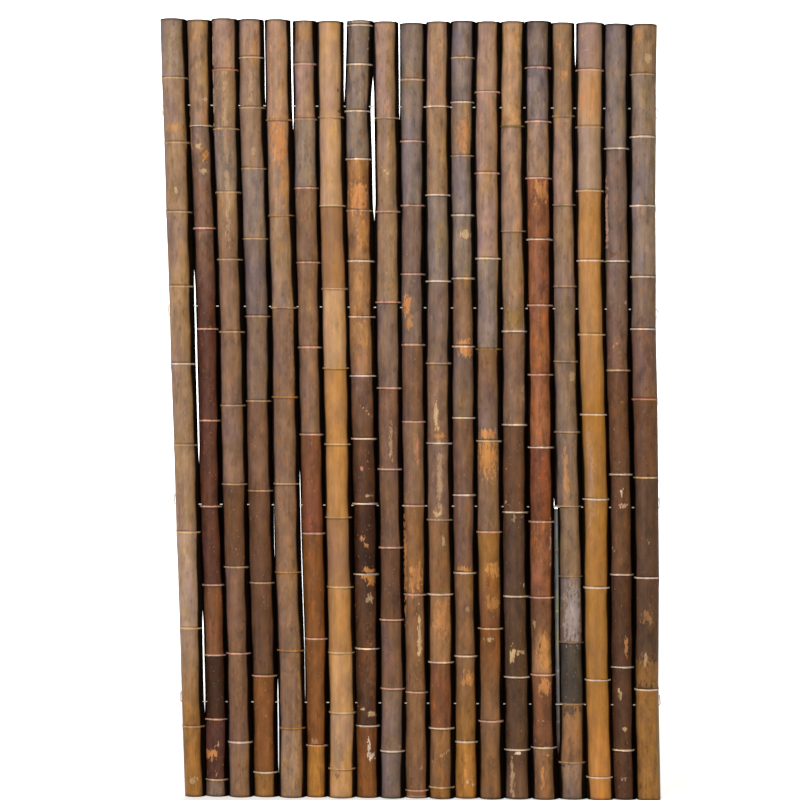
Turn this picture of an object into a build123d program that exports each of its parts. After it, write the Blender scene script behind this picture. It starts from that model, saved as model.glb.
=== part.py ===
from build123d import *
import math
import os
from dataclasses import dataclass

os.makedirs("parts", exist_ok=True)

# The panel: whole bamboo poles threaded side by side on galvanised wires.
# All lengths are in mm. X runs along the panel, -Y is its front and Z is up from the ground.
POLE_LENGTH = 1829.0
PANEL_LEAN = 73.0
FIRST_POLE_EDGE = -590.0

# The four wires and the holes drilled for them
WIRE_FROM_HEAD = 201.0
WIRE_HEIGHTS = (223.0, 688.0, 1155.0, POLE_LENGTH - WIRE_FROM_HEAD)
WIRE_NAMES = ("wire_bottom", "wire_lower", "wire_upper", "wire_top")
WIRE_DIAMETER = 3.0
WIRE_CLEARANCE = 0.3
WIRE_FORWARD = 9.0
WIRE_BEND_RADIUS = 3.0
WIRE_TAIL = 24.0
# The drill's seam is turned this far from level, which cuts every wall cleanly
DRILL_SEAM_TURN = 30.0

# The diameters in the list are the widths that catch the light, and a pole is this much thicker
SHADED_EDGE = 0.8

# How the poles lie against each other
CLOSED = 1.2
TOUCH_CLEARANCE = 0.3
STAGGER = 4.0
KINK = 0.5

# A pole's wall, its inner partitions and its sawn ends
POLE_WALL = 7.0
SEPTUM = 5.0
SAWN_EDGE = 1.0

# A node: the sheath scar stands proud, with a slight swelling on the butt side
# and a longer, softer ridge on the tip side
SCAR_RISE = 1.0
SCAR_HEIGHT = 3.0
SCAR_EDGE = 0.6
SWELL_RISE = 0.3
SWELL_REACH = 13.0
RIDGE_RISE = 0.6
RIDGE_REACH = 17.0

# The side branch left on one pole, behind the wires, and the groove above its upper node
BRANCH_FOOT_DIAMETER = 13.5
BRANCH_HEAD_DIAMETER = 11.5
BRANCH_SETBACK = 9.5
BRANCH_RISE = 34.0
BRANCH_WIRE_GAP = 2.5
GROOVE_RADIUS = 60.0
GROOVE_DEPTH = 4.0
GROOVE_RUNOUT = 0.6
GROOVE_TURN = 42.0


@dataclass
class Culm:
    """One pole. Nodes are heights above the ground, diameters are at foot, middle and head.

    Gaps are the clear widths to the pole on its left, at the foot, at each wire and at the head.
    Fuller gives heights, and how much the radius grows there towards the pole on the left.
    """

    nodes: tuple
    diameters: tuple
    gaps: tuple = (CLOSED,) * 6
    butt_up: bool = False
    trim: float = 0.0
    branch_node: int = -1
    depth: float = 0.0
    offsets: tuple = ()
    fuller: tuple = ()

    def length(self):
        return POLE_LENGTH + self.trim

    def stations(self):
        return (0.0, *WIRE_HEIGHTS, POLE_LENGTH)

    def kept_nodes(self):
        """The nodes that lie between the two sawn ends."""
        return [node for node in self.nodes if SEPTUM < node < self.length() - SEPTUM]

    def radius(self, height):
        """Smooth taper through the three measured diameters."""
        foot, middle, head = self.diameters
        t = height / POLE_LENGTH
        diameter = foot * (1 - t) * (1 - 2 * t) + middle * 4 * t * (1 - t) + head * t * (2 * t - 1)
        return (diameter + SHADED_EDGE) / 2 + self.growth(height)

    def growth(self, height):
        """How much fuller the pole is here than its taper."""
        return between(height, self.fuller) if self.fuller else 0.0


CULMS = [
    Culm(
        nodes=(165, 396, 622, 827, 1018, 1200, 1375, 1538, 1690),
        diameters=(46.5, 55.5, 60.0),
        butt_up=True,
        trim=1.0,
    ),
    Culm(
        nodes=(40, 182, 333, 498, 683, 885, 1101, 1338, 1579),
        diameters=(50.5, 49.5, 56.5),
        gaps=(3.5, 7.0, 4.5, 6.5, CLOSED, 2.0),
    ),
    Culm(
        nodes=(129, 338, 541, 736, 921, 1094, 1264, 1422, 1571, 1710),
        diameters=(54.0, 57.5, 60.0),
        gaps=(2.5, CLOSED, 2.0, CLOSED, CLOSED, CLOSED),
        butt_up=True,
        trim=2.0,
    ),
    Culm(
        nodes=(58, 285, 504, 721, 932, 1131, 1314, 1479, 1622, 1740),
        diameters=(55.5, 59.5, 59.0),
        gaps=(3.5, CLOSED, CLOSED, CLOSED, CLOSED, CLOSED),
        butt_up=True,
        trim=2.0,
    ),
    Culm(
        nodes=(164, 346, 530, 738, 942, 1152, 1369, 1594),
        diameters=(60.0, 60.0, 57.0),
        gaps=(3.0, 6.5, CLOSED, CLOSED, 3.0, 3.0),
        trim=1.0,
    ),
    Culm(
        nodes=(122, 373, 621, 854, 1059, 1259, 1434, 1596, 1726),
        diameters=(49.5, 56.5, 51.5),
        gaps=(2.0, 2.0, 3.0, CLOSED, 7.5, 10.5),
        butt_up=True,
    ),
    Culm(
        nodes=(69, 201, 342, 496, 660, 832, 1011, 1198, 1393, 1601),
        diameters=(60.0, 60.0, 59.0),
        gaps=(2.5, CLOSED, CLOSED, CLOSED, CLOSED, 3.0),
        trim=-2.0,
    ),
    Culm(
        nodes=(169, 351, 526, 692, 845, 993, 1132, 1263, 1382, 1503, 1616, 1726, 1818),
        diameters=(54.0, 60.5, 58.5),
        gaps=(3.5, CLOSED, CLOSED, 1.5, 1.5, 11.5),
        butt_up=True,
        trim=1.0,
    ),
    Culm(
        nodes=(111, 258, 420, 590, 774, 965, 1167, 1380, 1600),
        diameters=(55.0, 55.0, 56.0),
        gaps=(2.0, CLOSED, CLOSED, 4.0, 12.0, 1.5),
        trim=-2.0,
    ),
    Culm(
        nodes=(18, 249, 479, 688, 886, 1067, 1233, 1395, 1546, 1691),
        diameters=(53.0, 55.5, 58.0),
        gaps=(4.0, CLOSED, CLOSED, CLOSED, 2.0, 5.5),
        butt_up=True,
        trim=-4.0,
    ),
    Culm(
        nodes=(27, 166, 321, 481, 656, 836, 1024, 1217, 1420, 1628),
        diameters=(57.5, 57.5, 55.0),
        gaps=(1.5, CLOSED, CLOSED, 2.5, CLOSED, 3.0),
        trim=-1.0,
    ),
    Culm(
        nodes=(133, 335, 531, 714, 896, 1064, 1224, 1373, 1513, 1639, 1744),
        diameters=(53.5, 54.0, 54.5),
        gaps=(1.5, CLOSED, CLOSED, CLOSED, 1.5, 1.5),
        butt_up=True,
        trim=2.0,
    ),
    Culm(
        nodes=(183, 401, 628, 842, 1058, 1271, 1472, 1663),
        diameters=(56.0, 57.5, 56.0),
        gaps=(2.0, 1.5, CLOSED, CLOSED, 1.5, 2.5),
        butt_up=True,
    ),
    Culm(
        nodes=(116, 287, 477, 675, 881, 1101, 1337, 1584),
        diameters=(60.5, 59.5, 54.5),
        gaps=(3.0, 1.5, CLOSED, 2.0, 1.5, 1.5),
        trim=2.0,
    ),
    Culm(
        nodes=(122, 293, 475, 653, 828, 999, 1162, 1317, 1461, 1594, 1721),
        diameters=(56.0, 57.0, 59.0),
        gaps=(3.5, CLOSED, CLOSED, 2.0, 2.0, CLOSED),
        butt_up=True,
        trim=2.0,
    ),
    Culm(
        nodes=(87, 225, 370, 525, 690, 865, 1031, 1208, 1400, 1609),
        diameters=(56.5, 53.5, 52.5),
        gaps=(9.0, 13.0, 12.5, 2.5, 3.5, 1.5),
        branch_node=0,
        fuller=((0, 0), (687.9, 0), (688.5, 4.2), (865, 3.0), (1031, 2.2), (1155, 0), (POLE_LENGTH, 0)),
    ),
    Culm(
        nodes=(53, 282, 499, 707, 906, 1094, 1268, 1432, 1582, 1716),
        diameters=(57.0, 61.0, 63.0),
        gaps=(7.5, CLOSED, CLOSED, 2.0, 2.5, 5.5),
        butt_up=True,
        trim=-1.0,
    ),
    Culm(
        nodes=(117, 312, 530, 766, 1011, 1268, 1533),
        diameters=(51.5, 56.5, 58.5),
        gaps=(2.5, 1.5, CLOSED, 1.5, 2.5, 1.5),
        trim=-2.0,
    ),
    Culm(
        nodes=(260, 523, 759, 943, 1108, 1231, 1398, 1560, 1707),
        diameters=(54.5, 58.5, 60.0),
        gaps=(CLOSED, 1.5, CLOSED, CLOSED, 2.0, 3.5),
        butt_up=True,
        trim=-3.0,
    ),
]


def between(height, points):
    """Value at a height on a run of (height, value) points, carried straight on past the ends."""
    low, high = points[0], points[1]
    for low, high in zip(points, points[1:]):
        if height <= high[0]:
            break
    share = (height - low[0]) / (high[0] - low[0])
    return low[1] + (high[1] - low[1]) * share


def spine(culm):
    """Points of the pole's middle line: straight internodes with a slight turn at each node."""
    plain = list(zip(culm.stations(), culm.offsets))
    points = [(0.0, between(0.0, plain))]
    for count, node in enumerate(culm.kept_nodes()):
        side = 1 if count % 2 else -1
        points.append((node, between(node, plain) + side * KINK))
    points.append((culm.length(), between(culm.length(), plain)))
    return points


def centre(culm, height):
    """Where the pole's middle line is, along the panel, at a height."""
    return between(height, spine(culm)) - culm.growth(height)


def node_profile(culm, node):
    """Heights and rises across one node, from below to above."""
    half = SCAR_HEIGHT / 2
    grown = (
        (-SWELL_REACH, 0.0),
        (-half - SCAR_EDGE, SWELL_RISE),
        (-half, SCAR_RISE),
        (half, SCAR_RISE),
        (half + SCAR_EDGE, RIDGE_RISE),
        (RIDGE_REACH, 0.0),
    )
    turn = -1 if culm.butt_up else 1
    return sorted((node + turn * offset, rise) for offset, rise in grown)


def outline(culm):
    """Heights and radii of the pole's outer surface, from its foot to its head."""
    top = culm.length()
    points = [(0.0, -SAWN_EDGE), (SAWN_EDGE, 0.0)]
    for node in culm.kept_nodes():
        for height, rise in node_profile(culm, node):
            if 2 * SAWN_EDGE < height < top - 2 * SAWN_EDGE:
                points.append((height, rise))
    points += [(top - SAWN_EDGE, 0.0), (top, -SAWN_EDGE)]
    return [(height, culm.radius(height) + rise) for height, rise in points]


def shortfall(left, right):
    """How much further apart two neighbours must stand so that nothing on them meets."""
    left_outline, right_outline = outline(left), outline(right)
    across = right.depth - left.depth
    worst = 0.0
    for height in sorted({point[0] for point in left_outline + right_outline}):
        reach = between(height, left_outline) + between(height, right_outline) + TOUCH_CLEARANCE
        needed = math.sqrt(reach**2 - across**2)
        worst = max(worst, needed - (centre(right, height) - centre(left, height)))
    return worst


def place_poles():
    """Sets the poles side by side along the wires, each against the one on its left."""
    for count, culm in enumerate(CULMS):
        culm.depth = STAGGER if count % 2 else -STAGGER
        heights = culm.stations()
        if count == 0:
            lean = [PANEL_LEAN * (1 - height / POLE_LENGTH) for height in heights]
            culm.offsets = tuple(
                FIRST_POLE_EDGE + shift + culm.radius(height) for height, shift in zip(heights, lean)
            )
            continue
        left = CULMS[count - 1]
        culm.offsets = tuple(
            offset + left.radius(height) + gap + culm.radius(height)
            for height, offset, gap in zip(heights, left.offsets, culm.gaps)
        )
        push = shortfall(left, culm)
        culm.offsets = tuple(offset + push for offset in culm.offsets)


def round_loft(sections):
    """A solid through level circles, given as (x, y, height, radius)."""
    circles = [Plane((x, y, height)) * Circle(radius) for x, y, height, radius in sections]
    return loft(circles, ruled=True)


def pole_body(culm):
    """The pole's outside, as if it were solid right through."""
    return round_loft(
        [(centre(culm, height), culm.depth, height, radius) for height, radius in outline(culm)]
    )


def chambers(culm):
    """The hollow of each internode, between the partitions at the nodes and the open ends."""
    floors = [-SAWN_EDGE] + [node + SEPTUM / 2 for node in culm.kept_nodes()]
    ceilings = [node - SEPTUM / 2 for node in culm.kept_nodes()] + [culm.length() + SAWN_EDGE]
    hollows = []
    for floor, ceiling in zip(floors, ceilings):
        ends = [
            (centre(culm, height), culm.depth, height, culm.radius(height) - POLE_WALL)
            for height in (floor, ceiling)
        ]
        hollows.append(round_loft(ends))
    return hollows


def wire_holes(culm):
    """The holes drilled through the pole for the wires."""
    reach = 2 * max(culm.diameters)
    drill = Cylinder(WIRE_DIAMETER / 2 + WIRE_CLEARANCE, reach, rotation=(0, 90, DRILL_SEAM_TURN))
    return [Pos(centre(culm, height), -WIRE_FORWARD, height) * drill for height in WIRE_HEIGHTS]


def branch(culm, left):
    """The side branch: out of its node, then up between two poles to just under a wire."""
    node = culm.kept_nodes()[culm.branch_node]
    root = culm.radius(node) - POLE_WALL / 2
    top = WIRE_HEIGHTS[1] - WIRE_DIAMETER / 2 - BRANCH_WIRE_GAP
    heights = [node + BRANCH_RISE]
    heights += [height for height in culm.kept_nodes() if heights[0] < height < top] + [top]
    sections = [(centre(culm, node) - root, culm.depth, node - SCAR_HEIGHT, BRANCH_FOOT_DIAMETER / 2)]
    for height in heights:
        share = (height - node) / (top - node)
        diameter = BRANCH_FOOT_DIAMETER + (BRANCH_HEAD_DIAMETER - BRANCH_FOOT_DIAMETER) * share
        left_edge = centre(left, height) + left.radius(height)
        right_edge = centre(culm, height) - culm.radius(height)
        sections.append(((left_edge + right_edge) / 2, BRANCH_SETBACK, height, diameter / 2))
    return round_loft(sections)


def groove(culm):
    """A cutter for the shallow groove up the internode above the wire that ends the branch."""
    nodes = culm.kept_nodes()
    foot = min(node for node in nodes if node > WIRE_HEIGHTS[1])
    head = min(node for node in nodes if node > foot)
    ends = []
    for height, bite in ((foot + SCAR_HEIGHT, GROOVE_DEPTH), (head - SWELL_REACH, -GROOVE_RUNOUT)):
        reach = culm.radius(height) + GROOVE_RADIUS - bite
        turn = math.radians(GROOVE_TURN)
        x = centre(culm, height) - reach * math.cos(turn)
        y = culm.depth - reach * math.sin(turn)
        ends.append((x, y, height, GROOVE_RADIUS))
    return round_loft(ends)


def pole(culm, left):
    """One whole pole: hollow, partitioned at its nodes and drilled for the wires."""
    body = pole_body(culm)
    if culm.branch_node >= 0:
        body = body + branch(culm, left)
        body = body - groove(culm)
    return body - (chambers(culm) + wire_holes(culm))


def flank(culm, height, side):
    """Where the outer side of an end pole is in the wires' plane, along the panel."""
    reach = between(height, outline(culm))
    across = culm.depth + WIRE_FORWARD
    return centre(culm, height) + side * math.sqrt(reach**2 - across**2)


def wire_tail(culm, height, side, rise):
    """Corner and tip of a wire's end, turned flat against the end pole's outer side."""
    corner = flank(culm, height, side) + side * (WIRE_BEND_RADIUS + WIRE_CLEARANCE)
    tip = flank(culm, height + rise, side) + side * (WIRE_DIAMETER / 2 + WIRE_CLEARANCE)
    return (corner, -WIRE_FORWARD, height), (tip, -WIRE_FORWARD, height + rise)


def wire(height):
    """One wire through all the poles, its ends turned towards the panel's middle."""
    rise = WIRE_TAIL if height < POLE_LENGTH / 2 else -WIRE_TAIL
    left_corner, left_tip = wire_tail(CULMS[0], height, -1, rise)
    right_corner, right_tip = wire_tail(CULMS[-1], height, 1, rise)
    route = FilletPolyline(left_tip, left_corner, right_corner, right_tip, radius=WIRE_BEND_RADIUS)
    start = Plane(origin=route @ 0, z_dir=route % 0)
    return sweep(start * Circle(WIRE_DIAMETER / 2), path=route)


def build_panel():
    """All the pieces by name, with the panel's footprint centred on the origin."""
    place_poles()
    pieces = {}
    for count, culm in enumerate(CULMS):
        pieces[f"culm_{count + 1:02d}"] = pole(culm, CULMS[count - 1])
    for name, height in zip(WIRE_NAMES, WIRE_HEIGHTS):
        pieces[name] = wire(height)
    boxes = [piece.bounding_box() for piece in pieces.values()]
    middle_x = (min(box.min.X for box in boxes) + max(box.max.X for box in boxes)) / 2
    middle_y = (min(box.min.Y for box in boxes) + max(box.max.Y for box in boxes)) / 2
    return {name: Pos(-middle_x, -middle_y, 0) * piece for name, piece in pieces.items()}


for name, piece in build_panel().items():
    export_step(piece, f"parts/{name}.step")
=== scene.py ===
import logging
import math
from dataclasses import dataclass, field
from enum import Enum

import bmesh
import bpy
import numpy as np
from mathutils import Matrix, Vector


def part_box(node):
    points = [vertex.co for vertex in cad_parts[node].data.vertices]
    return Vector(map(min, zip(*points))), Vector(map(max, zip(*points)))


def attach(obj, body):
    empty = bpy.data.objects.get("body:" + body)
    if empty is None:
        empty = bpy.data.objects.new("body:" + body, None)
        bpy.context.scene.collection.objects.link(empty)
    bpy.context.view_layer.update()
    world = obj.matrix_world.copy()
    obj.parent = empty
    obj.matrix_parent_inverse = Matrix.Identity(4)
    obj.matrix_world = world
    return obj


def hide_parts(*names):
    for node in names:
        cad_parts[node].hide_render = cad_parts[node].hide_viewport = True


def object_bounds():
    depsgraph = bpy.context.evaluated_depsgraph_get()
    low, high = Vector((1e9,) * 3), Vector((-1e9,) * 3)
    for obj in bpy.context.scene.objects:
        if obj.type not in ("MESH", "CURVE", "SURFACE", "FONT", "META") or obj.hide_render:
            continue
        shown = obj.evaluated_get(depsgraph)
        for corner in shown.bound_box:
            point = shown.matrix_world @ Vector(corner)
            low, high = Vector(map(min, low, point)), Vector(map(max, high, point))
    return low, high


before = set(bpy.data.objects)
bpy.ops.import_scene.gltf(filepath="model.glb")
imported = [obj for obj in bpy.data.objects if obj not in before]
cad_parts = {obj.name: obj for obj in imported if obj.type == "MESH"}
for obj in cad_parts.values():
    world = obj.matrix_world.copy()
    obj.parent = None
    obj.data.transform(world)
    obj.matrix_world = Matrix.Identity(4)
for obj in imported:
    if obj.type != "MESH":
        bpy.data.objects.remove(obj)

# A fence panel of nineteen whole bamboo poles threaded side by side on four galvanised wires.
# All lengths are in metres unless a name ends in _MM. X runs along the panel and -Y is its front.
CAD_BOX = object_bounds()
LOG = logging.getLogger("bamboo_fence")
MM = 0.001

# Mesh fineness: columns round a pole and round the branch, rows up the branch, and the height
# of a row between a pole's nodes
COLUMNS = 56
BRANCH_COLUMNS = 20
BRANCH_ROWS = 150
ROW_HEIGHT = 6.5 * MM

# How the CAD solids' circles are told apart: radii that a pole's skin has, the height of a scar's
# flat, and how far at least it stands proud of the levels beside it
SKIN_RADII = (20 * MM, 36 * MM)
SCAR_FLAT = (2.5 * MM, 3.5 * MM)
SCAR_PROUD = 0.15 * MM

# Pole walls and partitions, as in the CAD solids
POLE_WALL = 7 * MM
SEPTUM = 5 * MM
SAWN_EDGE = 1 * MM

# A node's outline from butt side to tip side: distance from the scar and rise above the skin, in mm
NODE_OUTLINE_MM = (
    (-13.0, 0.0),
    (-7.0, 0.08),
    (-4.0, 0.2),
    (-2.5, 0.25),
    (-2.1, 0.05),
    (-1.7, 0.85),
    (-1.2, 1.0),
    (0.6, 1.0),
    (1.3, 0.85),
    (1.8, 0.3),
    (2.8, 0.3),
    (5.0, 0.5),
    (7.5, 0.6),
    (10.5, 0.42),
    (13.5, 0.15),
    (17.0, 0.0),
)
# Bands round a scar, in mm from it: the pale scar itself, and the band below it that is painted dark, as
# painted shadow under the scar's lip and as grime
SCAR_BAND_MM = (-1.95, 1.65)
SHADOW_AND_GRIME_BAND_MM = (-4.2, -1.95)

# Painted bands at the sawn ends, from the cut: dark as far as the first, then a paler rim
RIM_BAND_MM = (1.7, 5.2)

# Tint of a pole's right side for red, green and blue, and its reverse on the left
GOLD_DRIFT = (0.08, 0.03, -0.2)

# Distance from a mark, in shares of its size, past which it has no say
FAR = 2.4

# Half the width of a slanting scratch, wide enough to show on the mesh
SCRATCH_HALF_WIDTH = 2.2 * MM

# Change of radius at a node that is a step, where the internode above is fuller
FULLER_STEP = 1 * MM

# How far round a pole its side bulges where it presses on the next one, and how soon a slit opens
PRESS_SPREAD = math.radians(36)
SLIT_TAPER = 60 * MM

# How far each pole goes past the middle of a closed joint, so that no light comes through
CLOSING = 0.14 * MM

# What keeps a pole from being a lathe's work: it is a little oval, and each node tilts a little
OVALITY = 0.06 * MM
NODE_TILT = 0.9 * MM
NODE_TILT_REACH = 14 * MM
STEADY_END = 20 * MM

# Share of the skin's own tone that is left on the painted shadow and grime below a scar, on a cut's dark edge
# and on a rim
SHADOW_AND_GRIME_LEFT = 0.55
CUT_LEFT = 0.22
RIM_LEFT = 0.5

# How much a scar's or a rim's own tone covers
RING_COVER = 0.92
FAINT_RING_COVER = 0.35
RIM_COVER = 0.42

# Least lightness that the painted joint shade leaves on a scar, and on a mark that lies at a pole's very edge
RING_LIGHT = 0.75
EDGE_MARK_LIGHT = 0.8
EDGE_MARK_ACROSS = 0.8

# Painted shade in the joints between the poles: share of the lightness that the darkest part takes, and the
# softer shade beside it
JOINT_SHADE_DEEP = 0.97
JOINT_SHADE_SOFT = 0.24

# What weathering does to the skin's red, green and blue
WARM_STAIN = (1.3, 1.0, 0.66, 1.0)
MAUVE_HAZE = (0.88, 0.9, 1.12, 1.0)
OLIVE_HAZE = (1.05, 1.02, 0.74, 1.0)
PEELED_SHEATH = (1.7, 1.45, 1.1, 1.0)
DARK_CLOUD = (0.4, 0.38, 0.42, 1.0)
SOOT_SPOT = (0.42, 0.38, 0.4, 1.0)

# The groove in one pole, as in the CAD solid
GROOVE_RADIUS = 60 * MM
GROOVE_BITE = (4.0 * MM, -0.6 * MM)
GROOVE_TURN = math.radians(-48)


class Tone(Enum):
    """Colours that bamboo skin, sheath remnants and sawn wood have on this panel, in sRGB."""

    CREAM = "#ead2bb"
    SHELL_PINK = "#dba994"
    SALMON = "#cf8668"
    BUFF = "#bd9c78"
    STRAW = "#d6b485"
    BLOND = "#c1966c"
    HONEY = "#b8854f"
    GOLD = "#b07a38"
    AMBER = "#c98a47"
    TANGERINE = "#d08d52"
    GOLD_BROWN = "#9a6c35"
    OCHRE = "#94713a"
    OLIVE = "#8c7a4c"
    SILVER_TAN = "#ae8f74"
    ROSE_TAN = "#aa876f"
    FAWN = "#9d7d60"
    GREY_FAWN = "#927c6b"
    DRAB = "#846a59"
    MAUVE = "#7b675e"
    CINNAMON = "#8c6a50"
    TOBACCO = "#7d5b45"
    UMBER = "#6d4a31"
    CHESTNUT = "#7e5132"
    RUSSET = "#955d3b"
    RED_BROWN = "#824a2d"
    MAHOGANY = "#5e3829"
    BLACKWOOD = "#422616"
    COCOA = "#5a3a24"
    PEAT = "#5e432f"
    GINGER = "#875428"
    BRONZE = "#8c6440"
    TAWNY = "#a3764d"
    SAND = "#cb985e"
    DUN = "#90745a"
    ASHEN = "#8a776b"
    ASH = "#a29490"
    CHARCOAL = "#4f453b"
    SLATE = "#a3a6a3"


def linear(colour: str) -> tuple[float, float, float, float]:
    """Turns an sRGB hex colour to linear RGBA.

    Args:
        colour: Colour as "#rrggbb".

    Returns:
        Red, green, blue and alpha, 0 to 1.
    """
    parts = [int(colour[i : i + 2], 16) / 255 for i in (1, 3, 5)]
    r, g, b = (c / 12.92 if c <= 0.04045 else ((c + 0.055) / 1.055) ** 2.4 for c in parts)
    return r, g, b, 1.0


def add_node(
    tree: bpy.types.NodeTree, kind: str, inputs: dict | None = None, **settings: object
) -> bpy.types.Node:
    """Adds one shader node with its settings and links.

    Args:
        tree: Node tree that gets the node.
        kind: Blender's name of the node's type.
        inputs: Socket name or number, and its value or the socket that feeds it.
        **settings: Properties of the node itself.

    Returns:
        The new node.
    """
    node = tree.nodes.new(kind)
    for name, value in settings.items():
        setattr(node, name, value)
    for socket, value in (inputs or {}).items():
        if isinstance(value, bpy.types.NodeSocket):
            tree.links.new(value, node.inputs[socket])
        else:
            node.inputs[socket].default_value = value
    return node


def new_material(name: str) -> tuple[bpy.types.Material, bpy.types.NodeTree]:
    """Makes an empty node material.

    Args:
        name: Name of the material.

    Returns:
        The material and its node tree.
    """
    material = bpy.data.materials.new(name)
    material.use_nodes = True
    material.node_tree.nodes.clear()
    return material, material.node_tree


def ease(value: np.ndarray, start: float, end: float) -> np.ndarray:
    """Smooth step from 0 at start to 1 at end.

    Args:
        value: Values to read.
        start: Where the step begins.
        end: Where the step is complete. It may be below start.

    Returns:
        The step's height at each value.
    """
    t = np.clip((value - start) / (end - start), 0, 1)
    return t * t * (3 - 2 * t)


def spin_outline(outline: list[tuple[float, float]], columns: int) -> bmesh.types.BMesh:
    """Spins a line of points once round the Z axis into a closed skin.

    Args:
        outline: Radius and height of each point, the first and the last on the axis.
        columns: Steps of the spin.

    Returns:
        The skin, with its faces outwards.
    """
    bm = bmesh.new()
    verts = [bm.verts.new((float(radius), 0, float(height))) for radius, height in outline]
    edges = [bm.edges.new(pair) for pair in zip(verts, verts[1:])]
    bmesh.ops.spin(
        bm,
        geom=verts + edges,
        cent=(0, 0, 0),
        axis=(0, 0, 1),
        angle=2 * math.pi,
        steps=columns,
        use_merge=True,
    )
    bmesh.ops.remove_doubles(bm, verts=bm.verts, dist=1e-6)
    bmesh.ops.recalc_face_normals(bm, faces=bm.faces)
    return bm


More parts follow.
